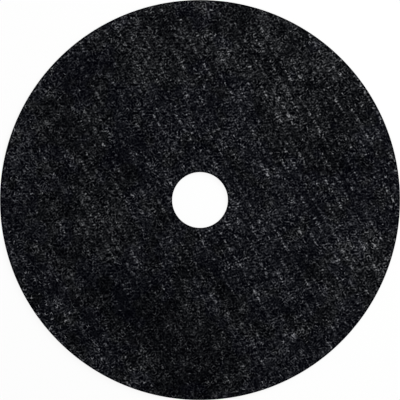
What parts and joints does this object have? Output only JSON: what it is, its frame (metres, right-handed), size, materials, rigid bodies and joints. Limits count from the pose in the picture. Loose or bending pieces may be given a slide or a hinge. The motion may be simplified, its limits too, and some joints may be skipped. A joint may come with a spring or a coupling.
{
  "type": "cut-off wheel",
  "caption": "Thin flat cut-off wheel of black resin-bonded abrasive with a plain round arbor bore and a woven glass mesh imprint on both faces.",
  "frame": {"origin": "on the bore's axis, at the lower face, which lies on the bench", "axes": "+Z along the bore's axis, up through the wheel's thickness; +X to the right and +Y up as the picture shows the face"},
  "size_m": [0.2286, 0.2286, 0.0016],
  "materials": {
    "abrasive": "matte"
  },
  "bodies": {
    "root": {"cut_off_wheel": "abrasive"}
  },
  "joints": []
}
